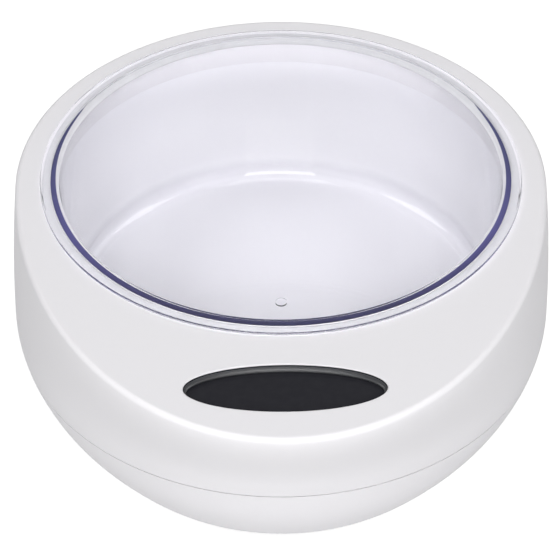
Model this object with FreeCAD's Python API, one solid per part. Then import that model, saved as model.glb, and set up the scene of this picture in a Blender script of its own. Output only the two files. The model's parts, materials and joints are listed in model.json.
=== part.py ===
import FreeCAD, Part
import math
import os

V = FreeCAD.Vector

# Wax bowl
deck_margin = 11.9
flange_width = 7.3
flange_thick = 2.0
bowl_taper = 4.7
bowl_depth = 65.0
bowl_wall = 2.0
bowl_corner = 5.5
flange_round = 0.8
mouth_round = 0.3
gate_mark_radius = 2.3
gate_mark_height = 0.7

# Housing body: round behind the bowl, drawn out to a visor in front of it
body_half_width = 103.9
top_lean = 2.6
visor_reach = 46.9
visor_depth = 76.6
brow_power = 1.4
visor_power = 1.95
body_depth = 125.5
side_depth = 59.5
under_power = 1.8
base_radius = 65.6
shell_wall = 2.5
deck_round = 3.0
base_round = 7.0
body_sections = 14
seam_depth = 69.0
seam_gap = 0.5
tongue_wall = 1.2
tongue_height = 4.0
fit_clear = 0.2
screw_clear = 0.1

# Bowl seat and heating well
bowl_clear = 1.5
collar_drop = 8.0
collar_wall = 2.0
seal_width = 2.8
seal_thick = 1.6
seal_proud = 0.4
seal_lip_thick = 0.8
seal_lip_clear = 0.3
well_wall = 1.2
well_gap = 0.3
well_lip = 4.0
ear_radius = 3.8
ear_offset = 6.3
ear_count = 4
ear_boss_radius = 3.0
ear_screw_radius = 1.3
ear_screw_length = 9.0

# Heater stack under the well
heater_margin = 13.5
heater_thick = 2.0
heater_tab_place = 12.0
heater_tab_width = 6.0
heater_tab_length = 7.0
clamp_margin = 2.0
clamp_thick = 1.2
stud_radius = 2.0
stud_place = 34.0
stud_count = 4
stud_spare = 1.5
nut_flats = 7.0
nut_height = 3.2
insulation_inner = 42.0
insulation_margin = 2.0
insulation_thick = 6.0
shield_thick = 0.8
shield_margin = 2.0

# Pillars and screws that hold the base to the heater stack
pillar_place = 50.0
pillar_count = 3
pillar_radius = 4.5
pillar_neck = 3.0
base_post_height = 15.0
base_post_radius = 5.2
base_screw_radius = 1.75
base_screw_grip = 10.0
base_head_height = 2.4
base_head_sink = 3.6

# Thermostat, fuse and sensor
thermostat_radius = 7.5
thermostat_height = 8.0
thermostat_plate = 0.8
thermostat_ear = 12.0
thermostat_ear_width = 7.0
thermostat_screw_radius = 1.4
thermostat_head_height = 1.2
thermostat_blade_gap = 7.0
blade_width = 4.8
blade_thick = 0.8
blade_drop = 7.0
fuse_radius = 2.0
fuse_length = 12.0
fuse_place = (22.0, -8.0)
sensor_radius = 2.5
sensor_length = 14.0
sensor_place = (-22.0, -8.0)
clip_thick = 0.7
clip_width = 7.0
clip_tab = 5.0

# Oval window and display
window_beyond = 15.4
window_half_width = 36.8
window_half_depth = 12.6
bezel_wall = 0.8
bezel_sink = 0.3
lens_sink = 3.0
lens_thick = 1.5
bezel_ledge = 1.0
bezel_flange = 3.0
bezel_flange_thick = 1.5
bezel_leg_radius = 1.4
lens_shelf = 1.5
gasket_thick = 0.8
board_thick = 1.6
display_board_depth = 10.0
display_board_half_width = 46.0
display_back_margin = 14.7
display_front_margin = 12.8
display_board_clear = 2.0
display_boss_x = 42.5
display_boss_offset = 9.7
display_boss_radius = 3.0
display_screw_radius = 1.2
display_screw_length = 7.0
digit_width = 30.0
digit_length = 11.0
digit_lens_gap = 0.6
pad_place = 24.0
pad_radius = 3.5

# Control board in the base
control_width = 70.0
control_length = 56.0
control_corner = 4.0
control_post_height = 7.0
control_post_radius = 3.2
control_screw_radius = 1.3
control_screw_length = 7.0
screw_head_factor = 1.9
screw_head_height = 1.5
transformer_size = (32.0, 26.0, 20.0)
transformer_place = (-16.0, -2.0)
relay_size = (15.0, 19.0, 15.5)
relay_place = (20.0, 4.0)
terminal_size = (30.0, 9.0, 10.0)
terminal_place = (0.0, 21.0)
capacitor_radius = 6.2
capacitor_height = 18.0
capacitor_place = (20.0, -16.0)
socket_size = (12.0, 5.0, 6.0)
socket_place = (-14.0, -23.0)

# Rubber feet
foot_radius = 7.0
foot_place = 50.0
foot_count = 4
foot_drop = 2.5
foot_sink = 1.0
foot_round = 0.8

# Floor vents
vent_count = 5
vent_pitch = 8.0
vent_width = 3.0
vent_length = 26.0

# Mains inlet at the back
inlet_inset = 19.9
inlet_height = 35.0
pocket_width = 26.0
pocket_height = 18.0
pocket_wall = 2.0
inlet_plate = (22.0, 14.0, 1.5)
inlet_body_width = 19.0
inlet_body_height = 11.0
inlet_body_length = 18.0
socket_wall = 1.4
socket_depth = 13.0
pin_radius = 1.2
pin_pitch = 8.6
pin_length = 9.0
pin_tail = 4.0

# Leads inside the housing
lead_radius = 1.1
cable_radius = 1.7
lead_bend = 6.0
heater_lead_offset = 4.0
lead_sink = 8.4
lead_drop = 17.0
cable_offset = 11.7
cable_wall_gap = 9.3
cable_heater_gap = 6.0

# Levels
deck_z = foot_drop + body_depth
seam_z = deck_z - seam_depth
flange_z = deck_z + seal_proud
rim_z = flange_z + flange_thick
bowl_floor_z = rim_z - bowl_depth
bowl_under_z = bowl_floor_z - bowl_wall
seal_seat_z = flange_z - seal_thick
deck_under_z = deck_z - shell_wall
well_top_z = deck_under_z - collar_drop
well_floor_z = bowl_under_z - well_gap
well_under_z = well_floor_z - well_wall
ear_under_z = well_top_z - well_wall
heater_under_z = well_under_z - heater_thick
clamp_under_z = heater_under_z - clamp_thick
nut_under_z = clamp_under_z - nut_height
insulation_under_z = clamp_under_z - insulation_thick
shield_under_z = insulation_under_z - shield_thick
floor_z = foot_drop + shell_wall
post_top_z = floor_z + base_post_height
base_seat_z = foot_drop + base_head_sink
control_z = floor_z + control_post_height
control_top_z = control_z + board_thick
display_top_z = deck_z - display_board_depth
display_under_z = display_top_z - board_thick
lens_top_z = deck_z - lens_sink
lens_under_z = lens_top_z - lens_thick
bezel_under_z = lens_under_z - bezel_ledge
bezel_flange_z = deck_under_z - gasket_thick

# Radii that follow from the body's width
flange_radius = body_half_width - deck_margin
mouth_radius = flange_radius - flange_width
floor_radius = mouth_radius - bowl_taper
opening_radius = mouth_radius + bowl_wall + bowl_clear
well_floor_radius = floor_radius + bowl_wall + bowl_clear
ear_place = opening_radius + ear_offset
heater_radius = well_floor_radius - heater_margin
clamp_radius = heater_radius + clamp_margin
insulation_outer = heater_radius - insulation_margin

# Places that follow from the body's width and the levels
window_place = body_half_width + window_beyond
display_board_back = window_place - display_back_margin
display_board_front = window_place + display_front_margin
display_boss_place = window_place - display_boss_offset
inlet_face = body_half_width - inlet_inset
heater_lead_back = heater_radius + heater_lead_offset
lead_level = shield_under_z - lead_sink
cable_front = window_place - cable_offset
cable_turn = body_half_width - cable_wall_gap
cable_under = heater_radius + cable_heater_gap

# The bowl axis lies behind the middle of the box; set once the body is shaped
axis_y = 0.0


def at(x, y, z):
    """A point measured from the bowl axis."""
    return V(x, axis_y + y, z)


def around(count, radius, start):
    """Evenly spaced places about the bowl axis, as (x, y)."""
    places = []
    for index in range(count):
        angle = math.radians(start) + 2 * math.pi * index / count
        places.append((radius * math.cos(angle), radius * math.sin(angle)))
    return places


def rod(x, y, low, high, radius):
    return Part.makeCylinder(radius, high - low, at(x, y, low), V(0, 0, 1))


def bar(x, y0, y1, z, radius):
    """A round bar lying along Y."""
    return Part.makeCylinder(radius, y1 - y0, at(x, y0, z), V(0, 1, 0))


def block(x0, x1, y0, y1, low, high):
    return Part.makeBox(x1 - x0, y1 - y0, high - low, at(x0, y0, low))


def block_on(size, place, low):
    """A block of a given size standing on a level, centred on a place."""
    width, length, height = size
    x, y = place
    return block(x - width / 2, x + width / 2, y - length / 2, y + length / 2, low, low + height)


def ring(inner, outer, low, high):
    return rod(0, 0, low, high, outer).cut(rod(0, 0, low, high, inner))


def joined(shape, others):
    for other in others:
        shape = shape.fuse(other)
    return shape.removeSplitter()


def without(shape, others):
    for other in others:
        shape = shape.cut(other)
    return shape


def turned(outline):
    """A solid of revolution about the bowl axis from (radius, z) corners."""
    corners = [at(radius, 0, z) for radius, z in outline]
    face = Part.Face(Part.makePolygon(corners + corners[:1]))
    return face.revolve(at(0, 0, 0), V(0, 0, 1), 360)


def rim_edges(shape, radius, z):
    """The round edges of a turned shape at one radius and level."""
    found = []
    for edge in shape.Edges:
        if isinstance(edge.Curve, Part.Circle):
            same_radius = abs(edge.Curve.Radius - radius) < 0.01
            same_level = abs(edge.Curve.Center.z - z) < 0.01
            if same_radius and same_level:
                found.append(edge)
    return found


def edges_at(shape, z):
    """The edges that lie flat at one level."""
    found = []
    for edge in shape.Edges:
        box = edge.BoundBox
        if abs(box.ZMin - z) < 0.01 and abs(box.ZMax - z) < 0.01:
            found.append(edge)
    return found


def oval(inset, low, high):
    """An upright plug of the window's oval outline, drawn in by an inset."""
    centre = at(0, -window_place, low)
    ellipse = Part.Ellipse(centre, window_half_width - inset, window_half_depth - inset)
    face = Part.Face(Part.Wire(ellipse.toShape()))
    return face.extrude(V(0, 0, high - low))


def oval_ring(inner_inset, outer_inset, low, high):
    return oval(outer_inset, low, high).cut(oval(inner_inset, low, high))


def stadium(width, height, y0, y1, z):
    """A bar with half-round ends, lying along Y."""
    half = (width - height) / 2
    middle = block(-half, half, y0, y1, z - height / 2, z + height / 2)
    ends = [bar(side, y0, y1, z, height / 2) for side in (-half, half)]
    return joined(middle, ends)


def screw(x, y, seat, length, radius, head_height, up=1):
    """A screw whose head bears on a seat; up is 1 when driven upwards and -1 when driven down."""
    shank = Part.makeCylinder(radius, length, at(x, y, seat), V(0, 0, up))
    head = Part.makeCylinder(radius * screw_head_factor, head_height, at(x, y, seat), V(0, 0, -up))
    return shank.fuse(head).removeSplitter()


def lead(points, radius, bend):
    """A wire along straight runs joined by tangent arcs."""
    points = [at(*point) for point in points]
    edges = []
    start = points[0]
    for before, corner, after in zip(points, points[1:], points[2:]):
        into = (corner - before).normalize()
        out = (after - corner).normalize()
        turn = into.getAngle(out)
        cut = bend * math.tan(turn / 2)
        middle = (out - into).normalize() * (bend / math.cos(turn / 2) - bend)
        edges.append(Part.LineSegment(start, corner - into * cut).toShape())
        edges.append(Part.Arc(corner - into * cut, corner + middle, corner + out * cut).toShape())
        start = corner + out * cut
    edges.append(Part.LineSegment(start, points[-1]).toShape())
    path = Part.Wire(edges)
    profile = Part.Wire(Part.Circle(points[0], points[1] - points[0], radius).toShape())
    return path.makePipeShell([profile], True, False)


# The body's outline


def half_width_at(depth):
    if depth <= side_depth:
        return body_half_width - top_lean * (1 - max(depth, 0) / side_depth) ** 2
    share = (depth - side_depth) / (body_depth - side_depth)
    return body_half_width - (body_half_width - base_radius) * share ** under_power


def reach_at(depth):
    if depth >= visor_depth:
        return half_width_at(depth)
    brow = 1 - max(depth, 0) ** brow_power / visor_depth ** brow_power
    return half_width_at(depth) + visor_reach * brow ** visor_power


def drawn_in(outline, depth, inset):
    """An outline size at a depth, drawn in by a wall measured square to the surface."""
    step = 0.1
    slope = (outline(depth + step) - outline(depth - step)) / (2 * step)
    return outline(depth) - inset * math.hypot(1, slope)


def section(depth, inset):
    """The outline at a depth under the deck: a half circle behind and a half oval in front."""
    half = drawn_in(half_width_at, depth, inset)
    reach = drawn_in(reach_at, depth, inset)
    z = deck_z - depth
    quarter = math.pi / 2
    circle = Part.Circle(at(0, 0, z), V(0, 0, 1), half)
    arcs = [Part.Arc(circle, 0, quarter), Part.Arc(circle, quarter, 2 * quarter)]
    if reach - half > 0.01:
        front = Part.Ellipse(at(0, -reach, z), at(half, 0, z), at(0, 0, z))
        arcs.append(Part.ArcOfEllipse(front, -quarter, 0))
        arcs.append(Part.ArcOfEllipse(front, 0, quarter))
    else:
        arcs.append(Part.Arc(circle, 2 * quarter, 3 * quarter))
        arcs.append(Part.Arc(circle, 3 * quarter, 4 * quarter))
    return Part.Wire([arc.toShape() for arc in arcs])


def body_between(top, bottom, inset, count=body_sections):
    """The body's volume between two depths, drawn in by an inset all round."""
    depths = [top + (bottom - top) * index / (count - 1) for index in range(count)]
    return Part.makeLoft([section(depth, inset) for depth in depths], True, False)


def rounded_body():
    body = body_between(0, body_depth, 0)
    body = body.makeFillet(deck_round, edges_at(body, deck_z))
    return body.makeFillet(base_round, edges_at(body, foot_drop))


def slab(low, high):
    """A block wider than the body between two levels."""
    wide = 2 * (body_half_width + visor_reach)
    return block(-wide, wide, -wide, wide, low, high)


outer_body = rounded_body()
box = outer_body.optimalBoundingBox(False, False)
axis_y = -(box.YMin + box.YMax) / 2
outer_body.translate(V(0, axis_y, 0))
inner_body = body_between(shell_wall, body_depth - shell_wall, shell_wall)
shell = outer_body.cut(inner_body)

ear_places = around(ear_count, ear_place, 45)
stud_places = around(stud_count, stud_place, 45)
pillar_places = around(pillar_count, pillar_place, -90)
foot_places = around(foot_count, foot_place, 45)
display_boss_places = [(side * display_boss_x, -display_boss_place) for side in (-1, 1)]
control_post_places = []
for side in (-1, 1):
    for end in (-1, 1):
        post_x = side * (control_width / 2 - control_corner)
        post_y = end * (control_length / 2 - control_corner)
        control_post_places.append((post_x, post_y))


# Housing shells


def top_housing():
    top = shell.common(slab(seam_z + seam_gap / 2, deck_z))
    inside = shell_wall + fit_clear
    tongue_top = seam_depth - tongue_height
    tongue_end = seam_depth + tongue_height
    tongue = body_between(tongue_top, tongue_end, inside, 3)
    tongue = tongue.fuse(body_between(tongue_top, seam_depth - seam_gap, shell_wall - fit_clear, 3))
    tongue = tongue.cut(body_between(tongue_top - seam_gap, tongue_end + seam_gap, inside + tongue_wall, 3))
    collar = rod(0, 0, well_top_z, deck_under_z + shell_wall / 4, opening_radius + collar_wall)
    bosses = [rod(x, y, well_top_z, deck_under_z, ear_boss_radius) for x, y in ear_places]
    bosses += [rod(x, y, display_top_z, deck_under_z, display_boss_radius) for x, y in display_boss_places]
    top = joined(top, [tongue, collar] + bosses)
    cuts = [rod(0, 0, well_top_z, deck_z, opening_radius)]
    cuts.append(rod(0, 0, seal_seat_z, deck_z, opening_radius + seal_width + fit_clear))
    cuts.append(oval(0, deck_under_z, deck_z))
    screw_hole = ear_screw_radius + screw_clear
    cuts += [rod(x, y, well_top_z, ear_under_z + ear_screw_length, screw_hole) for x, y in ear_places]
    screw_hole = display_screw_radius + screw_clear
    display_hole_top = display_under_z + display_screw_length
    cuts += [rod(x, y, display_top_z, display_hole_top, screw_hole) for x, y in display_boss_places]
    return without(top, cuts)


def base_shell():
    base = shell.common(slab(foot_drop, seam_z - seam_gap / 2))
    posts = [rod(x, y, foot_drop + foot_sink, post_top_z, base_post_radius) for x, y in pillar_places]
    posts += [rod(x, y, foot_drop + foot_sink, control_z, control_post_radius)
              for x, y in control_post_places]
    half = pocket_width / 2
    low = inlet_height - pocket_height / 2
    high = inlet_height + pocket_height / 2
    back = body_half_width
    edge = pocket_wall
    pocket = block(-half - edge, half + edge, inlet_face - edge, back, low - edge, high + edge)
    pocket = pocket.common(outer_body)
    base = joined(base, posts + [pocket])
    cuts = [block(-half, half, inlet_face, back, low, high)]
    cuts.append(stadium(inlet_body_width + fit_clear, inlet_body_height + fit_clear,
                        inlet_face - edge, inlet_face, inlet_height))
    head_hole = base_screw_radius * screw_head_factor + fit_clear
    cuts += [rod(x, y, foot_drop, base_seat_z, head_hole) for x, y in pillar_places]
    cuts += [rod(x, y, foot_drop, post_top_z, base_screw_radius + screw_clear) for x, y in pillar_places]
    control_hole = control_top_z - control_screw_length
    cuts += [rod(x, y, control_hole, control_z, control_screw_radius + screw_clear)
             for x, y in control_post_places]
    cuts += [rod(x, y, foot_drop, foot_drop + foot_sink, foot_radius + fit_clear) for x, y in foot_places]
    for index in range(vent_count):
        x = (index - (vent_count - 1) / 2) * vent_pitch
        cuts.append(block_on((vent_width, vent_length, shell_wall), (x, 0), foot_drop))
    return without(base, cuts)


def rubber_feet():
    feet = []
    for x, y in foot_places:
        foot = rod(x, y, 0, foot_drop + foot_sink, foot_radius)
        feet.append(foot.makeFillet(foot_round, edges_at(foot, 0)))
    return Part.makeCompound(feet)


# Bowl, seal and heating well


def wax_bowl():
    outline = [(0, bowl_under_z), (floor_radius + bowl_wall, bowl_under_z)]
    outline += [(mouth_radius + bowl_wall, flange_z), (flange_radius, flange_z), (flange_radius, rim_z)]
    outline += [(mouth_radius, rim_z), (floor_radius, bowl_floor_z), (0, bowl_floor_z)]
    bowl = turned(outline)
    bowl = bowl.makeFillet(bowl_corner, rim_edges(bowl, floor_radius, bowl_floor_z))
    bowl = bowl.makeFillet(bowl_corner + bowl_wall, rim_edges(bowl, floor_radius + bowl_wall, bowl_under_z))
    rims = rim_edges(bowl, flange_radius, flange_z) + rim_edges(bowl, flange_radius, rim_z)
    bowl = bowl.makeFillet(flange_round, rims)
    bowl = bowl.makeFillet(mouth_round, rim_edges(bowl, mouth_radius, rim_z))
    mark = rod(0, 0, bowl_floor_z - bowl_wall / 2, bowl_floor_z + gate_mark_height, gate_mark_radius)
    return joined(bowl, [mark])


def bowl_seal():
    outer = opening_radius + seal_width
    body = ring(opening_radius, outer, seal_seat_z, flange_z)
    lip = ring(mouth_radius + bowl_wall + seal_lip_clear, outer, flange_z - seal_lip_thick, flange_z)
    return joined(body, [lip])


def heating_well():
    outline = [(0, well_under_z), (well_floor_radius + well_wall, well_under_z)]
    outline += [(opening_radius + well_wall, ear_under_z), (opening_radius + well_lip, ear_under_z)]
    outline += [(opening_radius + well_lip, well_top_z), (opening_radius, well_top_z)]
    outline += [(well_floor_radius, well_floor_z), (0, well_floor_z)]
    well = turned(outline)
    well = well.makeFillet(bowl_corner, rim_edges(well, well_floor_radius, well_floor_z))
    outer_corner = rim_edges(well, well_floor_radius + well_wall, well_under_z)
    well = well.makeFillet(bowl_corner + well_wall, outer_corner)
    ears = [rod(x, y, ear_under_z, well_top_z, ear_radius) for x, y in ear_places]
    ears = [ear.cut(rod(0, 0, ear_under_z, well_top_z, opening_radius + well_wall)) for ear in ears]
    stud_low = nut_under_z - stud_spare
    studs = [rod(x, y, stud_low, well_under_z + well_wall / 2, stud_radius) for x, y in stud_places]
    well = joined(well, ears + studs)
    hole = ear_screw_radius + screw_clear
    return without(well, [rod(x, y, ear_under_z, well_top_z, hole) for x, y in ear_places])


def well_screws():
    screws = [screw(x, y, ear_under_z, ear_screw_length, ear_screw_radius, screw_head_height)
              for x, y in ear_places]
    return Part.makeCompound(screws)


# Heater stack


def stud_holes(low, high):
    return [rod(x, y, low, high, stud_radius + fit_clear) for x, y in stud_places]


def heater_disc():
    disc = rod(0, 0, heater_under_z, well_under_z, heater_radius)
    inside = heater_radius - heater_tab_length
    outside = heater_radius + heater_tab_length
    tabs = []
    for side in (-1, 1):
        middle = side * heater_tab_place
        tabs.append(block(middle - heater_tab_width / 2, middle + heater_tab_width / 2, inside, outside,
                          heater_under_z, heater_under_z + heater_thick / 2))
    return without(joined(disc, tabs), stud_holes(heater_under_z, well_under_z))


def thermostat_screw_places():
    return [(side * thermostat_ear, 0) for side in (-1, 1)]


def heater_clamp_plate():
    plate = rod(0, 0, clamp_under_z, heater_under_z, clamp_radius)
    holes = stud_holes(clamp_under_z, heater_under_z)
    hole = thermostat_screw_radius + screw_clear
    holes += [rod(x, y, clamp_under_z, heater_under_z, hole) for x, y in thermostat_screw_places()]
    return without(plate, holes)


def heater_nuts():
    nuts = []
    for x, y in stud_places:
        corners = []
        for index in range(7):
            angle = index * math.pi / 3
            across = nut_flats / 2 / math.cos(math.pi / 6)
            corners.append(at(x + across * math.cos(angle), y + across * math.sin(angle), nut_under_z))
        nut = Part.Face(Part.makePolygon(corners)).extrude(V(0, 0, nut_height))
        nuts.append(nut.cut(rod(x, y, nut_under_z, clamp_under_z, stud_radius + screw_clear)))
    return Part.makeCompound(nuts)


def pillar_holes(low, high):
    return [rod(x, y, low, high, pillar_neck + fit_clear) for x, y in pillar_places]


def insulation_ring():
    pad = ring(insulation_inner, insulation_outer, insulation_under_z, clamp_under_z)
    return without(pad, pillar_holes(insulation_under_z, clamp_under_z))


def heat_shield():
    inner = insulation_inner - shield_margin
    outer = insulation_outer + shield_margin
    plate = ring(inner, outer, shield_under_z, insulation_under_z)
    return without(plate, pillar_holes(shield_under_z, insulation_under_z))


def spacer_pillars():
    pillars = []
    for x, y in pillar_places:
        pillar = rod(x, y, post_top_z, shield_under_z, pillar_radius)
        pillar = joined(pillar, [rod(x, y, shield_under_z, clamp_under_z, pillar_neck)])
        thread_top = post_top_z + base_screw_grip + screw_head_height
        pillars.append(pillar.cut(rod(x, y, post_top_z, thread_top, base_screw_radius + screw_clear)))
    return Part.makeCompound(pillars)


def base_screws():
    length = post_top_z - base_seat_z + base_screw_grip
    screws = [screw(x, y, base_seat_z, length, base_screw_radius, base_head_height) for x, y in pillar_places]
    return Part.makeCompound(screws)


# Thermostat, fuse and sensor


def thermostat():
    half = thermostat_ear + thermostat_ear_width / 2
    plate_z = clamp_under_z - thermostat_plate
    width = thermostat_ear_width / 2
    plate = block(-half, half, -width, width, plate_z, clamp_under_z)
    can = rod(0, 0, clamp_under_z - thermostat_height, plate_z, thermostat_radius)
    blades = []
    for side in (-1, 1):
        x = side * thermostat_blade_gap / 2
        low = clamp_under_z - thermostat_height - blade_drop
        blades.append(block_on((blade_thick, blade_width, blade_drop), (x, 0), low))
    body = joined(plate, [can] + blades)
    hole = thermostat_screw_radius + screw_clear
    return without(body, [rod(x, y, plate_z, clamp_under_z, hole) for x, y in thermostat_screw_places()])


def thermostat_screws():
    seat = clamp_under_z - thermostat_plate
    length = thermostat_plate + clamp_thick
    screws = [screw(x, y, seat, length, thermostat_screw_radius, thermostat_head_height)
              for x, y in thermostat_screw_places()]
    return Part.makeCompound(screws)


def clipped_rod(place, radius, length):
    """A round device lying along Y against the clamp plate."""
    x, y = place
    return bar(x, y - length / 2, y + length / 2, clamp_under_z - radius, radius)


def clip(place, radius):
    """A bent strip that holds a round device up to the clamp plate."""
    x, y = place
    inside = radius + screw_clear
    outside = inside + clip_thick
    front = y - clip_width / 2
    back = y + clip_width / 2
    centre = clamp_under_z - radius
    strip = block(x - outside - clip_tab, x + outside + clip_tab, front, back,
                  clamp_under_z - clip_thick, clamp_under_z)
    arch = [bar(x, front, back, centre, outside)]
    arch.append(block(x - outside, x + outside, front, back, centre, clamp_under_z))
    strip = joined(strip, arch).common(slab(0, clamp_under_z))
    hollow = [bar(x, front, back, centre, inside)]
    hollow.append(block(x - inside, x + inside, front, back, centre, clamp_under_z))
    return without(strip, hollow)


def device_clips():
    return Part.makeCompound([clip(fuse_place, fuse_radius), clip(sensor_place, sensor_radius)])


# Window and display


def window_bezel():
    wall = oval_ring(bezel_wall, fit_clear, bezel_under_z, deck_z - bezel_sink)
    shelf = oval_ring(bezel_wall + lens_shelf, fit_clear, bezel_under_z, lens_under_z)
    flange = oval_ring(bezel_wall, -bezel_flange, bezel_flange_z - bezel_flange_thick, bezel_flange_z)
    leg_inset = bezel_wall + lens_shelf / 2
    leg_x = window_half_width - leg_inset
    leg_y = window_half_depth - leg_inset
    legs = []
    for x, y in ((leg_x, 0), (-leg_x, 0), (0, leg_y), (0, -leg_y)):
        legs.append(rod(x, y - window_place, display_top_z, bezel_under_z, bezel_leg_radius))
    return joined(wall, [shelf, flange] + legs)


def window_lens():
    return oval(bezel_wall + fit_clear, lens_under_z, lens_top_z)


def window_gasket():
    return oval_ring(-fit_clear, -bezel_flange, bezel_flange_z, deck_under_z)


def display_board():
    board = block(-display_board_half_width, display_board_half_width, -display_board_front,
                  -display_board_back, display_under_z, display_top_z)
    depth = display_board_depth
    room = body_between(depth - board_thick, depth + 2 * board_thick, shell_wall + display_board_clear, 3)
    board = board.common(room)
    hole = display_screw_radius + screw_clear
    return without(board, [rod(x, y, display_under_z, display_top_z, hole) for x, y in display_boss_places])


def digit_display():
    height = lens_under_z - digit_lens_gap - display_top_z
    return block_on((digit_width, digit_length, height), (0, -window_place), display_top_z)


def touch_pads():
    top = lens_under_z - digit_lens_gap
    pads = [rod(side * pad_place, -window_place, display_top_z, top, pad_radius) for side in (-1, 1)]
    return Part.makeCompound(pads)


def display_screws():
    screws = [screw(x, y, display_under_z, display_screw_length, display_screw_radius, screw_head_height)
              for x, y in display_boss_places]
    return Part.makeCompound(screws)


# Control board


def control_board():
    board = block_on((control_width, control_length, board_thick), (0, 0), control_z)
    hole = control_screw_radius + screw_clear
    return without(board, [rod(x, y, control_z, control_top_z, hole) for x, y in control_post_places])


def control_screws():
    screws = [screw(x, y, control_top_z, control_screw_length, control_screw_radius, screw_head_height, -1)
              for x, y in control_post_places]
    return Part.makeCompound(screws)


def filter_capacitor():
    x, y = capacitor_place
    return rod(x, y, control_top_z, control_top_z + capacitor_height, capacitor_radius)


# Mains inlet


def power_inlet():
    width, height, thick = inlet_plate
    front = inlet_face + thick
    low = inlet_height - height / 2
    plate = block(-width / 2, width / 2, inlet_face, front, low, low + height)
    back = inlet_face - inlet_body_length
    body = joined(plate, [stadium(inlet_body_width, inlet_body_height, back, inlet_face, inlet_height)])
    cavity = stadium(inlet_body_width - 2 * socket_wall, inlet_body_height - 2 * socket_wall,
                     front - socket_depth, front, inlet_height)
    hole = pin_radius + screw_clear
    holes = [bar(side * pin_pitch / 2, back, front, inlet_height, hole) for side in (-1, 1)]
    return without(body, [cavity] + holes)


def inlet_pins():
    tail = inlet_face - inlet_body_length - pin_tail
    tip = inlet_face + inlet_plate[2] - socket_depth + pin_length
    pins = [bar(side * pin_pitch / 2, tail, tip, inlet_height, pin_radius) for side in (-1, 1)]
    return Part.makeCompound(pins)


# Leads


def mains_leads():
    tail = inlet_face - inlet_body_length - pin_tail
    end_y = terminal_place[1]
    end_z = control_top_z + terminal_size[2]
    leads = []
    for side in (-1, 1):
        x = side * pin_pitch / 2
        route = [(x, tail, inlet_height), (x, end_y, inlet_height), (x, end_y, end_z)]
        leads.append(lead(route, lead_radius, lead_bend))
    return Part.makeCompound(leads)


def heater_leads():
    end_y = terminal_place[1]
    end_z = control_top_z + terminal_size[2]
    leads = []
    for side in (-1, 1):
        x = side * heater_tab_place
        route = [(x, heater_lead_back, heater_under_z), (x, heater_lead_back, lead_level)]
        route += [(x, end_y, lead_level), (x, end_y, end_z)]
        leads.append(lead(route, lead_radius, lead_bend))
    return Part.makeCompound(leads)


def device_lead(place, radius, length):
    """A lead from a clipped device down to the control board."""
    x, y = place
    level = clamp_under_z - radius
    route = [(x, y + length / 2, level), (x, lead_drop, level), (x, lead_drop, control_top_z)]
    return lead(route, lead_radius, lead_bend)


def display_cable():
    x, end_y = socket_place
    route = [(x, -cable_front, display_under_z), (x, -cable_front, well_top_z - 2 * collar_drop)]
    route += [(x, -cable_turn, seam_z + 2 * collar_drop), (x, -cable_turn, seam_z)]
    route += [(x, -cable_under, lead_level), (x, end_y, lead_level)]
    route.append((x, end_y, control_top_z + socket_size[2]))
    return lead(route, cable_radius, lead_bend)


nodes = {
    "top_housing": top_housing(),
    "base_shell": base_shell(),
    "rubber_feet": rubber_feet(),
    "wax_bowl": wax_bowl(),
    "bowl_seal": bowl_seal(),
    "heating_well": heating_well(),
    "well_screws": well_screws(),
    "heater_disc": heater_disc(),
    "heater_clamp_plate": heater_clamp_plate(),
    "heater_nuts": heater_nuts(),
    "insulation_ring": insulation_ring(),
    "heat_shield": heat_shield(),
    "spacer_pillars": spacer_pillars(),
    "base_screws": base_screws(),
    "thermostat": thermostat(),
    "thermostat_screws": thermostat_screws(),
    "thermal_fuse": clipped_rod(fuse_place, fuse_radius, fuse_length),
    "temperature_sensor": clipped_rod(sensor_place, sensor_radius, sensor_length),
    "device_clips": device_clips(),
    "window_bezel": window_bezel(),
    "window_lens": window_lens(),
    "window_gasket": window_gasket(),
    "display_board": display_board(),
    "digit_display": digit_display(),
    "touch_pads": touch_pads(),
    "display_screws": display_screws(),
    "control_board": control_board(),
    "control_screws": control_screws(),
    "transformer": block_on(transformer_size, transformer_place, control_top_z),
    "relay": block_on(relay_size, relay_place, control_top_z),
    "filter_capacitor": filter_capacitor(),
    "terminal_block": block_on(terminal_size, terminal_place, control_top_z),
    "cable_socket": block_on(socket_size, socket_place, control_top_z),
    "power_inlet": power_inlet(),
    "inlet_pins": inlet_pins(),
    "mains_leads": mains_leads(),
    "heater_leads": heater_leads(),
    "fuse_lead": device_lead(fuse_place, fuse_radius, fuse_length),
    "sensor_lead": device_lead(sensor_place, sensor_radius, sensor_length),
    "display_cable": display_cable(),
}

print("bowl axis at y", round(axis_y, 4))
os.makedirs("parts", exist_ok=True)
for name, shape in nodes.items():
    print(name, shape.isValid(), len(shape.Solids), round(shape.Volume, 1))
    shape.exportStep("parts/" + name + ".step")
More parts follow.
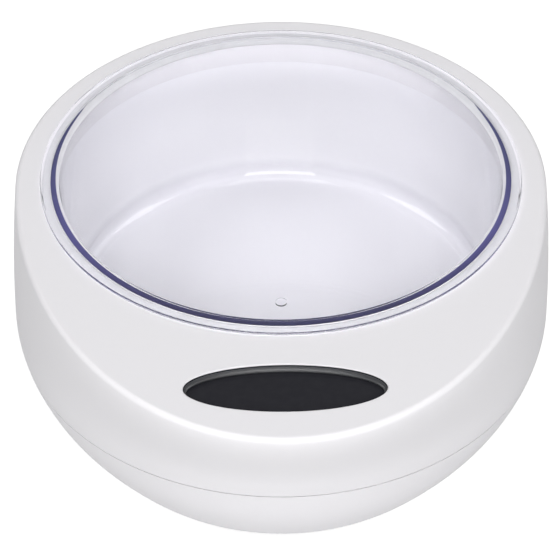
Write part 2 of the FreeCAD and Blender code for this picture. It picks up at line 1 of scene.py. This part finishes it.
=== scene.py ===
import bpy
import bmesh
import json
import math
from mathutils import Euler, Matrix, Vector


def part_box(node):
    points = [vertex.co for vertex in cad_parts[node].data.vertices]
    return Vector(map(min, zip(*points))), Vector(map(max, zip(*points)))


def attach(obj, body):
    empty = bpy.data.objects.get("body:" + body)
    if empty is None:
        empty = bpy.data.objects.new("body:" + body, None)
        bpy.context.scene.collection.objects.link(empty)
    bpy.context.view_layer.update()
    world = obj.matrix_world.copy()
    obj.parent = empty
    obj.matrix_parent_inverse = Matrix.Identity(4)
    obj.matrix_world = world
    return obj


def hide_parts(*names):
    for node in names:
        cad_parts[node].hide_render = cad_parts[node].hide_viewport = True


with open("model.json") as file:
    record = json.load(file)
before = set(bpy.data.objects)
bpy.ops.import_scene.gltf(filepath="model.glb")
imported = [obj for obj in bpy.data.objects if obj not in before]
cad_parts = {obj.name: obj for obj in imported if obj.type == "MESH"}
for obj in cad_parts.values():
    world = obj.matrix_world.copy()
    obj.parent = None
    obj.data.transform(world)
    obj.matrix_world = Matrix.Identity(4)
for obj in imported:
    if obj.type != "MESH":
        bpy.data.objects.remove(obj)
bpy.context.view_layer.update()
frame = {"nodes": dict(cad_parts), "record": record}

# Places read from the frame, in metres
bowl_low, bowl_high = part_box("wax_bowl")
seal_low, seal_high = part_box("bowl_seal")
lens_low, lens_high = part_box("window_lens")
axis_y = (bowl_low.y + bowl_high.y) / 2
rim_z = bowl_high.z
flange_z = seal_high.z
deck_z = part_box("top_housing")[1].z
base_top_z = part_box("base_shell")[1].z
frame_foot_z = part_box("window_bezel")[0].z
window_y = (lens_low.y + lens_high.y) / 2

# Sizes that the solids also have, in metres, and the powers of the housing's curves
flange_radius = 0.092
mouth_radius = 0.0847
floor_radius = 0.080
bowl_wall = 0.002
bowl_depth = 0.065
bowl_corner = 0.0055
flange_round = 0.0008
mouth_round = 0.0003
gate_mark_radius = 0.0023
gate_mark_height = 0.0007
half_width = 0.1039
top_lean = 0.0026
visor_depth = 0.0766
brow_power = 1.4
visor_power = 1.95
body_depth = 0.1255
side_depth = 0.0595
under_power = 1.8
base_radius = 0.0656
shell_wall = 0.0025
opening_radius = 0.0882
seal_width = 0.0028
seal_lip_thick = 0.0008
seal_lip_clear = 0.0003
collar_wall = 0.002
collar_drop = 0.008
window_half_width = 0.0368
window_half_depth = 0.0126
frame_leg_radius = 0.0014
seam_gap = 0.0005
tongue_clear = 0.0002
tongue_wall = 0.0012
tongue_height = 0.004

# Levels that follow from them
bowl_floor_z = rim_z - bowl_depth
bowl_under_z = bowl_floor_z - bowl_wall
deck_under_z = deck_z - shell_wall
collar_z = deck_under_z - collar_drop
housing_rim_z = base_top_z + seam_gap

# Sizes of the scene's own. The visor and the round of the deck's edge are a little smaller than in
# the solids, because the photo's highlight along that edge is narrow.
visor_reach = 0.0461
deck_round = 0.0018
window_round = 0.0005
edge_hold = 0.0004
long_run = 8 * edge_hold
mark_shoulder = 0.85
# Sizes of a lining inside the clear rim that no solid has; its crescent is painted violet edge light.
lining_rise = 0.00015
lining_thick = 0.0001
lining_stand = 0.0010
painted_crescent_turn = math.radians(120)
lining_reach = 0.0032
painted_crescent_width = 0.00318
painted_crescent_side = 4
seal_play = 0.00005
# Depth under the deck of the frame's top band that takes painted shade
frame_shade = 0.0008
frame_leg_inset = 0.00155
frame_leg_drop = 0.0055
frame_leg_top = deck_z - frame_leg_drop
mm_per_metre = 1000
slope_step = 0.0001
axis_limit = 1e-7
sharp_angle = math.radians(35)

# Counts of points round a loop, and of steps along a profile
bowl_points = 256
ring_points = 192
leg_points = 24
corner_steps = 12
flange_steps = 5
mouth_steps = 4
wall_steps = 40
edge_steps = 8
inner_steps = 30
window_steps = 4


# Materials

drift_scale = 300.0
drift_detail = 1.0
fine_detail = 4.0
shade_ends = (0.2, 0.8)
relief_scale = 1500.0
relief_strength = 0.6
coat_rough = (0.6, 0.7)
# Colours up the well from its underside to its collar: the coat's own pale colour, with painted shade
# in the floor's corner and towards the mouth.
coat_shade_stops = [
    (0.0, (0.85, 0.845, 0.875)),
    (0.03, (0.77, 0.765, 0.795)),
    (0.09, (0.80, 0.795, 0.825)),
    (0.16, (0.94, 0.935, 0.96)),
    (0.5, (0.94, 0.935, 0.96)),
    (1.0, (0.88, 0.875, 0.905)),
]
edge_rough = 0.5
# Colours of the lining's crescent from front to back: painted violet edge light of the clear rim,
# darkest at the front as painted shade.
painted_edge_stops = [
    (0.05, (0.030, 0.028, 0.085)),
    (0.3, (0.075, 0.070, 0.22)),
    (0.6, (0.050, 0.052, 0.14)),
]
clear_ior = 1.3
clear_scale = 30.0
clear_rough = (0.0, 0.03)
clear_through = (0.95, 0.945, 0.975, 1)
clear_absorb = (0.0, 0.0, 0.35, 1)
clear_density = 10.0


def new_material(name):
    material = bpy.data.materials.new(name)
    material.use_nodes = True
    tree = material.node_tree
    return material, tree, tree.nodes["Principled BSDF"]


def grain(tree, scale, detail):
    """A noise in object space, so that it lies still on the piece."""
    place = tree.nodes.new("ShaderNodeTexCoord")
    noise = tree.nodes.new("ShaderNodeTexNoise")
    noise.inputs["Scale"].default_value = scale
    noise.inputs["Detail"].default_value = detail
    tree.links.new(place.outputs["Object"], noise.inputs["Vector"])
    return noise


def tint(tree, noise, shader, low, high):
    """Lets the base colour drift between two near shades."""
    ramp = tree.nodes.new("ShaderNodeValToRGB")
    ramp.color_ramp.interpolation = "EASE"
    for element, position, colour in zip(ramp.color_ramp.elements, shade_ends, (low, high)):
        element.position = position
        element.color = (*colour, 1)
    tree.links.new(noise.outputs["Fac"], ramp.inputs["Fac"])
    tree.links.new(ramp.outputs["Color"], shader.inputs["Base Color"])


def gloss(tree, noise, shader, rough):
    """Lets the roughness drift between two values."""
    span = tree.nodes.new("ShaderNodeMapRange")
    span.inputs["To Min"].default_value, span.inputs["To Max"].default_value = rough
    tree.links.new(noise.outputs["Fac"], span.inputs["Value"])
    tree.links.new(span.outputs["Result"], shader.inputs["Roughness"])


def relief(tree, shader, height):
    bump = tree.nodes.new("ShaderNodeBump")
    bump.inputs["Distance"].default_value = height
    bump.inputs["Strength"].default_value = relief_strength
    noise = grain(tree, relief_scale, fine_detail)
    tree.links.new(noise.outputs["Fac"], bump.inputs["Height"])
    tree.links.new(bump.outputs["Normal"], shader.inputs["Normal"])


def surface(name, low, high, rough, metallic=0.0, height=0.0, specular=0.5):
    """A finish with a slight drift in colour and gloss, and a relief where a height is given."""
    material, tree, shader = new_material(name)
    shader.inputs["Metallic"].default_value = metallic
    shader.inputs["Specular IOR Level"].default_value = specular
    drift = grain(tree, drift_scale, drift_detail)
    tint(tree, drift, shader, low, high)
    gloss(tree, drift, shader, rough)
    if height:
        relief(tree, shader, height)
    return material


def ramp_along(tree, shader, axis, start, end, stops):
    """Colours the base along one object axis, with stops at shares of the way from start to end."""
    place = tree.nodes.new("ShaderNodeTexCoord")
    split = tree.nodes.new("ShaderNodeSeparateXYZ")
    span = tree.nodes.new("ShaderNodeMapRange")
    span.inputs["From Min"].default_value = start
    span.inputs["From Max"].default_value = end
    ramp = tree.nodes.new("ShaderNodeValToRGB")
    elements = ramp.color_ramp.elements
    elements[0].position, elements[0].color = stops[0][0], (*stops[0][1], 1)
    elements[1].position, elements[1].color = stops[-1][0], (*stops[-1][1], 1)
    for share, colour in stops[1:-1]:
        elements.new(share).color = (*colour, 1)
    tree.links.new(place.outputs["Object"], split.inputs["Vector"])
    tree.links.new(split.outputs[axis], span.inputs["Value"])
    tree.links.new(span.outputs["Result"], ramp.inputs["Fac"])
    tree.links.new(ramp.outputs["Color"], shader.inputs["Base Color"])


def well_coat_and_shade():
    """The pale matt coat of the well, with painted shade in its corner and towards its mouth."""
    material, tree, shader = new_material("coated_aluminium")
    ramp_along(tree, shader, "Z", bowl_under_z, collar_z, coat_shade_stops)
    gloss(tree, grain(tree, drift_scale, drift_detail), shader, coat_rough)
    return material


def painted_edge_violet():
    """Painted violet for the light that the clear wall gathers along its height and shows edge-on, with
    painted shade deepest at the front.
    """
    material, tree, shader = new_material("painted_edge_violet")
    ramp_along(tree, shader, "Y", axis_y - mouth_radius, axis_y + mouth_radius, painted_edge_stops)
    shader.inputs["Roughness"].default_value = edge_rough
    return material


def clear_plastic():
    """Clear moulded plastic, violet where it is seen edge-on, that lets the lamps through."""
    material, tree, shader = new_material("clear_plastic")
    shader.inputs["Base Color"].default_value = (1, 1, 1, 1)
    shader.inputs["Transmission Weight"].default_value = 1.0
    shader.inputs["IOR"].default_value = clear_ior
    gloss(tree, grain(tree, clear_scale, fine_detail), shader, clear_rough)
    through = tree.nodes.new("ShaderNodeBsdfTransparent")
    through.inputs["Color"].default_value = clear_through
    rays = tree.nodes.new("ShaderNodeLightPath")
    mix = tree.nodes.new("ShaderNodeMixShader")
    tree.links.new(rays.outputs["Is Shadow Ray"], mix.inputs["Fac"])
    tree.links.new(shader.outputs["BSDF"], mix.inputs[1])
    tree.links.new(through.outputs["BSDF"], mix.inputs[2])
    absorb = tree.nodes.new("ShaderNodeVolumeAbsorption")
    absorb.inputs["Color"].default_value = clear_absorb
    absorb.inputs["Density"].default_value = clear_density
    output = tree.nodes["Material Output"]
    tree.links.new(mix.outputs["Shader"], output.inputs["Surface"])
    tree.links.new(absorb.outputs["Volume"], output.inputs["Volume"])
    return material


white = surface("white_plastic", (0.806, 0.796, 0.819), (0.810, 0.800, 0.823), (0.50, 0.53),
                specular=0.12)
# The well's pale coat, with painted shade in its corner and towards its mouth.
shaded_coat = well_coat_and_shade()
clear = clear_plastic()
bezel_dark = surface("dark_plastic", (0.080, 0.082, 0.088), (0.084, 0.086, 0.092), (0.28, 0.31))
lens_finish_and_shade = surface("smoked_lens", (0.018, 0.018, 0.023), (0.021, 0.021, 0.026), (0.12, 0.15),
                 specular=0.25)
seal_white = surface("silicone", (0.58, 0.58, 0.595), (0.60, 0.60, 0.615), (0.45, 0.55))
rubber = surface("black_rubber", (0.03, 0.03, 0.03), (0.05, 0.05, 0.05), (0.6, 0.75))
steel = surface("steel", (0.55, 0.55, 0.56), (0.62, 0.62, 0.63), (0.25, 0.4), metallic=1.0)
mica = surface("mica", (0.42, 0.36, 0.26), (0.52, 0.45, 0.34), (0.5, 0.65))
felt = surface("felt", (0.76, 0.75, 0.70), (0.86, 0.85, 0.80), (0.85, 0.95), height=0.0003)
brass = surface("brass", (0.70, 0.55, 0.28), (0.76, 0.62, 0.34), (0.2, 0.35), metallic=1.0)
board_green = surface("circuit_board", (0.03, 0.16, 0.07), (0.045, 0.20, 0.09), (0.3, 0.4))
component = surface("component_plastic", (0.03, 0.03, 0.035), (0.05, 0.05, 0.055), (0.4, 0.55))
relay_blue = surface("relay_plastic", (0.03, 0.10, 0.35), (0.04, 0.13, 0.42), (0.35, 0.45))
terminal_green = surface("terminal_plastic", (0.05, 0.26, 0.10), (0.07, 0.30, 0.12), (0.4, 0.5))
wire_white = surface("white_wire", (0.74, 0.74, 0.71), (0.80, 0.80, 0.77), (0.45, 0.6))
cable_grey = surface("grey_cable", (0.20, 0.20, 0.21), (0.26, 0.26, 0.27), (0.45, 0.6))

slot_materials = {
    "white_plastic": white,
    "coated_aluminium": shaded_coat,
    "clear_plastic": clear,
    "dark_plastic": bezel_dark,
    "smoked_lens": lens_finish_and_shade,
    "silicone": seal_white,
    "black_rubber": rubber,
    "steel": steel,
    "mica": mica,
    "felt": felt,
    "brass": brass,
    "circuit_board": board_green,
    "component_plastic": component,
    "relay_plastic": relay_blue,
    "terminal_plastic": terminal_green,
    "white_wire": wire_white,
    "grey_cable": cable_grey,
}
for subpart in frame["record"]["subparts"]:
    mesh = frame["nodes"][subpart["node"]].data
    mesh.materials.clear()
    mesh.materials.append(slot_materials[subpart["material_slot"]])


# Mesh helpers


def place_mesh(name, bm, material, body, replaced):
    """Makes a finished piece that rides on a body and stands for the solids it replaces, if any."""
    bmesh.ops.recalc_face_normals(bm, faces=bm.faces)
    mesh = bpy.data.meshes.new(name)
    bm.to_mesh(mesh)
    bm.free()
    for face in mesh.polygons:
        face.use_smooth = True
    mesh.set_sharp_from_angle(angle=sharp_angle)
    mesh.materials.append(material)
    piece = bpy.data.objects.new(name, mesh)
    bpy.context.scene.collection.objects.link(piece)
    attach(piece, body)
    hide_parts(*replaced)
    return piece


def spread(start, end, count):
    return [start + (end - start) * index / count for index in range(count + 1)]


def turns(count=ring_points):
    return [2 * math.pi * index / count for index in range(count)]


def arc(centre, radius, start, end, steps):
    """Points on an arc in the (radius, z) plane, angles in degrees."""
    points = []
    for degrees in spread(start, end, steps):
        angle = math.radians(degrees)
        points.append((centre[0] + radius * math.cos(angle), centre[1] + radius * math.sin(angle)))
    return points


def held(profile):
    """Adds points beside the ends of long straight runs, so that rounded edges keep their shading."""
    points = profile[:1]
    for first, second in zip(profile, profile[1:]):
        length = math.dist(first, second)
        if length > long_run:
            for end, share in ((first, edge_hold / length), (second, 1 - edge_hold / length)):
                if end[0] > edge_hold:
                    points.append(tuple(a + (b - a) * share for a, b in zip(first, second)))
        points.append(second)
    return points


def lathe(profile, points):
    """A solid of revolution about the bowl's axis; the profile ends on the axis or closes on itself."""
    bm = bmesh.new()
    rings = []
    for radius, z in profile:
        if radius < axis_limit:
            rings.append([bm.verts.new((0, axis_y, z))])
            continue
        loop = []
        for angle in turns(points):
            loop.append(bm.verts.new((radius * math.cos(angle), axis_y + radius * math.sin(angle), z)))
        rings.append(loop)
    pairs = list(zip(rings, rings[1:]))
    if len(rings[0]) > 1:
        pairs.append((rings[-1], rings[0]))
    for lower, upper in pairs:
        for index in range(points):
            after = (index + 1) % points
            corners = [lower[index % len(lower)], lower[after % len(lower)]]
            corners += [upper[after % len(upper)], upper[index % len(upper)]]
            bm.faces.new(list(dict.fromkeys(corners)))
    return bm


def strip(bm, first, second):
    """A band of faces between two loops of equal count."""
    count = len(first)
    for index in range(count):
        after = (index + 1) % count
        bm.faces.new((first[index], first[after], second[after], second[index]))


def band(bm, loops):
    for first, second in zip(loops, loops[1:]):
        strip(bm, first, second)


# Clear bowl, the lining in its rim with painted violet edge light, and its seal


def bowl_profile():
    lean = math.degrees(math.atan2(mouth_radius - floor_radius, bowl_depth))
    outer = bowl_corner + bowl_wall
    low = flange_z + flange_round
    high = rim_z - flange_round
    flange_centre = flange_radius - flange_round
    mouth_centre = (mouth_radius + mouth_round, rim_z - mouth_round)
    corner_centre = (floor_radius - bowl_corner, bowl_floor_z + bowl_corner)
    profile = [(0, bowl_under_z)]
    profile += arc((floor_radius + bowl_wall - outer, bowl_under_z + outer), outer, -90, -lean,
                   corner_steps)
    profile += [(mouth_radius + bowl_wall, flange_z)]
    profile += arc((flange_centre, low), flange_round, -90, 0, flange_steps)
    profile += arc((flange_centre, high), flange_round, 0, 90, flange_steps)
    profile += arc(mouth_centre, mouth_round, 90, 180 - lean, mouth_steps)
    profile += arc(corner_centre, bowl_corner, -lean, -90, corner_steps)
    mark = gate_mark_radius
    mark_z = bowl_floor_z + gate_mark_height
    profile += [(mark, bowl_floor_z), (mark, bowl_floor_z + gate_mark_height * mark_shoulder)]
    profile += [(mark * mark_shoulder, mark_z), (0, mark_z)]
    return held(profile)


place_mesh("clear_bowl", lathe(bowl_profile(), bowl_points), clear, "bowl",
           ["wax_bowl"])


def painted_lining_section(turn):
    """Section of the rim's lining at a turn from the front: pale, a crescent of painted violet edge
    light, a pale upstand.
    """
    low = flange_z + lining_rise
    top = low + lining_thick
    stand = low + lining_stand
    rim = mouth_radius - lining_thick
    outer = mouth_radius + lining_reach
    edge = outer + lining_thick
    share = (math.cos(turn) - math.cos(painted_crescent_turn)) / (1 - math.cos(painted_crescent_turn))
    inner = outer - lining_thick - painted_crescent_width * math.sqrt(max(share, 0))
    upstand = [(edge, low), (edge, stand), (outer, stand), (outer, top)]
    return [(rim, low)] + upstand + [(inner, top), (rim, top)]


def painted_lining_ring():
    bm = bmesh.new()
    rows = []
    for turn in turns():
        row = []
        for radius, z in painted_lining_section(turn):
            row.append(bm.verts.new((radius * math.sin(turn), axis_y - radius * math.cos(turn), z)))
        rows.append(row)
    band(bm, rows + rows[:1])
    return bm


# A lining inside the rim: pale faces and a crescent of painted violet edge light, darkest at the front.
rim_lining_with_painted_edge = place_mesh("rim_lining_with_painted_edge", painted_lining_ring(), seal_white, "bowl", [])
rim_lining_with_painted_edge.data.materials.append(painted_edge_violet())
lining_sides = len(painted_lining_section(0))
for face in rim_lining_with_painted_edge.data.polygons:
    face.material_index = int(face.index % lining_sides == painted_crescent_side)


def seal_profile():
    inner = opening_radius + seal_play
    outer = opening_radius + seal_width - seal_play
    lip = mouth_radius + bowl_wall + seal_lip_clear
    low = seal_low.z
    top = seal_high.z - seal_play
    step = seal_high.z - seal_lip_thick
    return [(inner, low), (outer, low), (outer, top), (lip, top), (lip, step), (inner, step)]


place_mesh("seal_ring", lathe(seal_profile(), ring_points), seal_white, "housing",
           ["bowl_seal"])


# Housing top, from the same outline as the solids


def half_width_at(depth):
    if depth <= side_depth:
        return half_width - top_lean * (1 - max(depth, 0) / side_depth) ** 2
    share = (depth - side_depth) / (body_depth - side_depth)
    return half_width - (half_width - base_radius) * share ** under_power


def reach_at(depth):
    """How far the outline reaches forward of the bowl's axis at a depth under the deck."""
    if depth >= visor_depth:
        return half_width_at(depth)
    brow = 1 - max(depth, 0) ** brow_power / visor_depth ** brow_power
    return half_width_at(depth) + visor_reach * brow ** visor_power


def slope_of(outline, depth):
    return (outline(depth + slope_step) - outline(depth - slope_step)) / (2 * slope_step)


def drawn_in(outline, depth, inset):
    return outline(depth) - inset * math.hypot(1, slope_of(outline, depth))


def egg_place(angle, half, reach, z):
    """A point of a level outline that is round behind the bowl's axis and reaches out before it."""
    along = half if math.sin(angle) >= 0 else reach
    return (half * math.cos(angle), axis_y + along * math.sin(angle), z)


def egg_point(angle, depth, inset=0.0):
    """A point of the housing's outline at a depth under the deck, drawn in by an inset."""
    half = drawn_in(half_width_at, depth, inset)
    reach = drawn_in(reach_at, depth, inset)
    return egg_place(angle, half, reach, deck_z - depth)


def egg_loop(bm, depth, inset):
    return [bm.verts.new(egg_point(angle, depth, inset)) for angle in turns()]


def wall_lean(angle):
    """How far the wall under the deck's edge leans in, largest at the front."""
    return math.atan(-slope_of(reach_at, deck_round)) * max(-math.sin(angle), 0)


def wall_loop(bm, seam, share):
    """A loop on the wall, a share of the way from the seam up to the rounded edge."""
    loop = []
    for angle in turns():
        top = deck_round * (1 + math.sin(wall_lean(angle)))
        loop.append(bm.verts.new(egg_point(angle, seam + (top - seam) * share)))
    return loop


def edge_loop(bm, share):
    """A loop on the rounded edge, a share of the way from the wall up to the deck."""
    half = drawn_in(half_width_at, deck_round, deck_round)
    reach = drawn_in(reach_at, deck_round, deck_round)
    loop = []
    for angle in turns():
        lean = wall_lean(angle)
        tilt = -lean + (math.pi / 2 + lean) * share
        out = deck_round * math.cos(tilt)
        z = deck_z - deck_round + deck_round * math.sin(tilt)
        loop.append(bm.verts.new(egg_place(angle, half + out, reach + out, z)))
    return loop


def deck_loop(bm):
    """A loop on the deck beside its rounded edge, which keeps the deck's shading flat."""
    half = drawn_in(half_width_at, deck_round, deck_round + edge_hold)
    reach = drawn_in(reach_at, deck_round, deck_round + edge_hold)
    return [bm.verts.new(egg_place(angle, half, reach, deck_z)) for angle in turns()]


def oval_loop(bm, half_x, half_y, centre_y, z):
    loop = []
    for angle in turns():
        loop.append(bm.verts.new((half_x * math.cos(angle), centre_y + half_y * math.sin(angle), z)))
    return loop


def window_loop(bm, grow, z):
    """A loop round the window, larger than its cut-out by grow."""
    return oval_loop(bm, window_half_width + grow, window_half_depth + grow, window_y, z)


def flat_fill(bm, loops):
    """A flat face between an outer loop and the loops of its holes."""
    edges = []
    for loop in loops:
        for first, second in zip(loop, loop[1:] + loop[:1]):
            edge = bm.edges.get((first, second))
            edges.append(edge or bm.edges.new((first, second)))
    bmesh.ops.triangle_fill(bm, use_beauty=True, edges=edges)


def top_shell():
    bm = bmesh.new()
    seam = deck_z - housing_rim_z
    outer = [wall_loop(bm, seam, share) for share in spread(0, 1, wall_steps)]
    outer += [edge_loop(bm, share) for share in spread(0, 1, edge_steps)[1:]]
    band(bm, outer)
    seat_radius = opening_radius + seal_width
    collar = opening_radius + collar_wall
    steps = [(seat_radius, deck_z), (seat_radius, seal_low.z), (opening_radius, seal_low.z)]
    steps += [(opening_radius, collar_z), (collar, collar_z), (collar, deck_under_z)]
    well_mouth = [oval_loop(bm, radius, radius, axis_y, z) for radius, z in steps]
    band(bm, well_mouth)
    window = []
    for degrees in spread(0, 90, window_steps):
        angle = math.radians(degrees)
        grow = window_round * (1 - math.sin(angle))
        drop = window_round * (1 - math.cos(angle))
        window.append(window_loop(bm, grow, deck_z - drop))
    window.append(window_loop(bm, 0, deck_under_z))
    band(bm, window)
    outer.append(deck_loop(bm))
    band(bm, outer[-2:])
    window.insert(0, window_loop(bm, window_round + edge_hold, deck_z))
    band(bm, window[:2])
    flat_fill(bm, [outer[-1], well_mouth[0], window[0]])
    inner = [egg_loop(bm, depth, shell_wall) for depth in spread(shell_wall, seam, inner_steps)]
    tongue_inset = shell_wall + tongue_clear
    inner.append(egg_loop(bm, seam, tongue_inset + tongue_wall))
    inner.append(egg_loop(bm, seam + tongue_height, tongue_inset + tongue_wall))
    inner.append(egg_loop(bm, seam + tongue_height, tongue_inset))
    inner.append(egg_loop(bm, seam, tongue_inset))
    inner.append(outer[0])
    band(bm, inner)
    flat_fill(bm, [inner[0], well_mouth[-1], window[-1]])
    return bm


place_mesh("housing_top", top_shell(), white, "housing", ["top_housing"])


# Dark frame of the oval window


def frame_profile():
    """(inset from the window's edge, depth under the deck) round the section, in millimetres."""
    wall = [(0.15, 0.35), (0.3, 0.8), (0.42, 1.3), (0.6, 1.8), (0.8, 2.1), (1.05, 2.26), (1.2, 2.3)]
    seat = [(0.9, 2.35), (0.9, 4.5), (2.3, 4.5), (2.3, 5.5), (0.2, 5.5)]
    flange = [(0.2, 4.8), (-3.0, 4.8), (-3.0, 3.3), (0.2, 3.3)]
    return wall + seat + flange


def window_frame():
    bm = bmesh.new()
    loops = []
    for inset, depth in frame_profile():
        loops.append(window_loop(bm, -inset / mm_per_metre, deck_z - depth / mm_per_metre))
    band(bm, loops + loops[:1])
    leg_x = window_half_width - frame_leg_inset
    leg_y = window_half_depth - frame_leg_inset
    leg_z = (frame_leg_top + frame_foot_z) / 2
    for x, y in ((leg_x, 0), (-leg_x, 0), (0, leg_y), (0, -leg_y)):
        leg = bmesh.ops.create_cone(bm, cap_ends=True, segments=leg_points, radius1=frame_leg_radius,
                                    radius2=frame_leg_radius, depth=frame_leg_top - frame_foot_z)
        bmesh.ops.translate(bm, verts=leg["verts"], vec=(x, window_y + y, leg_z))
    return bm


frame_piece = place_mesh("window_frame", window_frame(), bezel_dark, "housing",
                         ["window_bezel"])
frame_piece.data.materials.append(lens_finish_and_shade)
# The top band of the frame's wall takes the darker lens finish as painted shade along the gap under the
# deck's edge.
for face in frame_piece.data.polygons:
    face.material_index = int(face.center.z > deck_z - frame_shade)


# Floor, light and camera

floor_size = 4.0
floor_grey = (0.4, 0.4, 0.4, 1)
floor_rough = 0.9
floor_glow = 0.8
room_low = 0.19
room_high = 0.27

# (name, place, target, size in metres, power in watts)
lamps = [
    ("key", (0, -1.4, 1.1), (0, 0, 0.1), (1.0, 0.8), 13.3),
    ("low", (0, -1.6, 0.18), (0, 0, 0.08), (1.6, 0.3), 13.2),
    ("left", (-1.1, 0.1, 1.05), (0, 0, 0.1), (0.6, 0.9), 5.2),
    ("right", (1.1, 0.1, 1.05), (0, 0, 0.1), (0.6, 0.9), 5.2),
    ("above", (0, 0.05, 1.5), (0, 0.02, 0.1), (0.6, 0.6), 2.9),
]

rim_elevation = math.radians(38.81)
camera_elevation = math.radians(40.39)
camera_azimuth = math.radians(0.69)
camera_roll = math.radians(-0.11)
camera_distance = 1.472
camera_lens = 247.85
camera_sensor = 36.0
image_width = 560
shift_pixels = -1.1


def larger(tree, first, second):
    """A node's output that is the larger of two values."""
    node = tree.nodes.new("ShaderNodeMath")
    node.operation = "MAXIMUM"
    tree.links.new(first, node.inputs[0])
    tree.links.new(second, node.inputs[1])
    return node.outputs["Value"]


def floor_material():
    """A grey floor that takes shadows, and shows pale to the camera and in gloss and glass."""
    material, tree, shader = new_material("floor")
    shader.inputs["Base Color"].default_value = floor_grey
    shader.inputs["Roughness"].default_value = floor_rough
    glow = tree.nodes.new("ShaderNodeEmission")
    glow.inputs["Strength"].default_value = floor_glow
    both = tree.nodes.new("ShaderNodeAddShader")
    mix = tree.nodes.new("ShaderNodeMixShader")
    rays = tree.nodes.new("ShaderNodeLightPath").outputs
    seen = larger(tree, rays["Is Camera Ray"], rays["Is Glossy Ray"])
    shown = larger(tree, seen, rays["Is Transmission Ray"])
    tree.links.new(shader.outputs["BSDF"], both.inputs[0])
    tree.links.new(glow.outputs["Emission"], both.inputs[1])
    tree.links.new(shown, mix.inputs["Fac"])
    tree.links.new(shader.outputs["BSDF"], mix.inputs[1])
    tree.links.new(both.outputs["Shader"], mix.inputs[2])
    tree.links.new(mix.outputs["Shader"], tree.nodes["Material Output"].inputs["Surface"])
    return material


def pale_floor():
    bm = bmesh.new()
    bmesh.ops.create_grid(bm, x_segments=1, y_segments=1, size=floor_size)
    mesh = bpy.data.meshes.new("floor")
    bm.to_mesh(mesh)
    bm.free()
    mesh.materials.append(floor_material())
    floor = bpy.data.objects.new("floor", mesh)
    bpy.context.scene.collection.objects.link(floor)


def soft_box(name, place, target, size, power):
    data = bpy.data.lights.new(name, "AREA")
    data.shape = "RECTANGLE"
    data.size, data.size_y = size
    data.energy = power
    lamp = bpy.data.objects.new(name, data)
    lamp.location = place
    lamp.rotation_euler = (Vector(target) - Vector(place)).to_track_quat("-Z", "Y").to_euler()
    bpy.context.scene.collection.objects.link(lamp)


def world_light():
    """A soft room, a little brighter overhead, so that its light is sampled through the clear bowl."""
    world = bpy.data.worlds.new("studio")
    world.use_nodes = True
    tree = world.node_tree
    place = tree.nodes.new("ShaderNodeTexCoord")
    split = tree.nodes.new("ShaderNodeSeparateXYZ")
    span = tree.nodes.new("ShaderNodeMapRange")
    span.inputs["From Min"].default_value = -1.0
    span.inputs["To Min"].default_value = room_low
    span.inputs["To Max"].default_value = room_high
    tree.links.new(place.outputs["Generated"], split.inputs["Vector"])
    tree.links.new(split.outputs["Z"], span.inputs["Value"])
    tree.links.new(span.outputs["Result"], tree.nodes["Background"].inputs["Strength"])
    tree.nodes["Background"].inputs["Color"].default_value = (1, 1, 1, 1)
    bpy.context.scene.world = world


def photo_camera():
    data = bpy.data.cameras.new("camera")
    data.sensor_width = camera_sensor
    data.lens = camera_lens
    data.shift_x = shift_pixels / image_width
    camera = bpy.data.objects.new("camera", data)
    back = camera_distance * math.cos(rim_elevation)
    up = camera_distance * math.sin(rim_elevation)
    side = -back * math.sin(camera_azimuth)
    camera.location = (side, axis_y - back * math.cos(camera_azimuth), rim_z + up)
    turn = Euler((math.pi / 2 - camera_elevation, 0, -camera_azimuth)).to_quaternion()
    camera.rotation_mode = "QUATERNION"
    camera.rotation_quaternion = turn @ Euler((0, 0, camera_roll)).to_quaternion()
    bpy.context.scene.collection.objects.link(camera)
    bpy.context.scene.camera = camera


pale_floor()
world_light()
for lamp in lamps:
    soft_box(*lamp)
photo_camera()
bpy.context.scene.view_settings.view_transform = "Standard"
